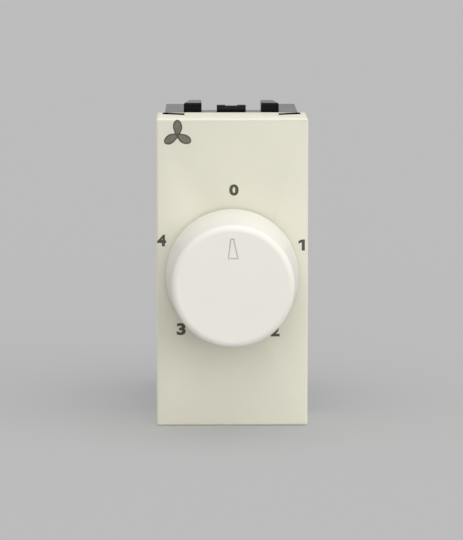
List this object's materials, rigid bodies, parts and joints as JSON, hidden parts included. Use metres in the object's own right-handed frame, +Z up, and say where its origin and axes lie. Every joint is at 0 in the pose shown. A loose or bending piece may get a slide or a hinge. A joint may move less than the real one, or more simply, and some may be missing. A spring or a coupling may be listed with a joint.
{
  "type": "fan speed control switch",
  "caption": "One-module rotary fan speed regulator: tapered knob on an ivory plate, black rear housing with hooks, catch and screw terminals.",
  "frame": {"origin": "middle of the module in the plane of the front plate's back rim, where the mounting grid meets it", "axes": "+X to the right seen from the front, +Y into the wall away from the knob, +Z up"},
  "size_m": [0.022, 0.0538, 0.0462],
  "materials": {
    "ivory_plate": "ivory moulded plastic, satin gloss",
    "ivory_knob": "pale ivory moulded plastic, satin gloss",
    "black_case": "black moulded plastic, glossy",
    "white_nylon": "natural nylon",
    "grey_nylon": "grey nylon",
    "brown_phenolic": "brown phenolic moulding",
    "spring_steel": "spring steel",
    "plated_steel": "zinc plated steel",
    "contact_brass": "stamped brass",
    "terminal_brass": "turned and drilled brass",
    "board_laminate": "paper laminate board",
    "capacitor_case": "dipped film capacitor",
    "resistor_tan": "lacquered resistor body",
    "resistor_grey": "grey cement-coated resistor body"
  },
  "bodies": {
    "case": {"front_plate": "ivory_plate", "housing": "black_case", "detent_spring": "spring_steel", "switch_cover": "grey_nylon", "switch_base": "brown_phenolic", "common_contact": "contact_brass", "step_contacts": "contact_brass", "cover_screws": "plated_steel", "circuit_board": "board_laminate", "capacitor_large": "capacitor_case", "capacitor_small": "capacitor_case", "bleed_resistors": "resistor_tan", "surge_resistors": "resistor_grey", "line_terminal": "terminal_brass", "load_terminal": "terminal_brass", "line_strap": "contact_brass", "load_strap": "contact_brass"},
    "selector": {"knob": "ivory_knob", "knob_spring": "spring_steel", "rotor": "white_nylon", "wiper": "contact_brass"},
    "line_clamp": {"line_screw": "plated_steel"},
    "load_clamp": {"load_screw": "plated_steel"}
  },
  "joints": [
    {"name": "knob_turn", "type": "hinge", "parent": "case", "child": "selector", "pos_m": [0, 0, -0.00025], "axis": [0, 1, 0], "range_deg": [0, 288], "deforming": ["detent_spring"]},
    {"name": "line_screw_drive", "type": "slide", "parent": "case", "child": "line_clamp", "axis": [0, 0, 1], "range_m": [0, 0.0032]},
    {"name": "load_screw_drive", "type": "slide", "parent": "case", "child": "load_clamp", "axis": [0, 0, -1], "range_m": [0, 0.0032]}
  ]
}
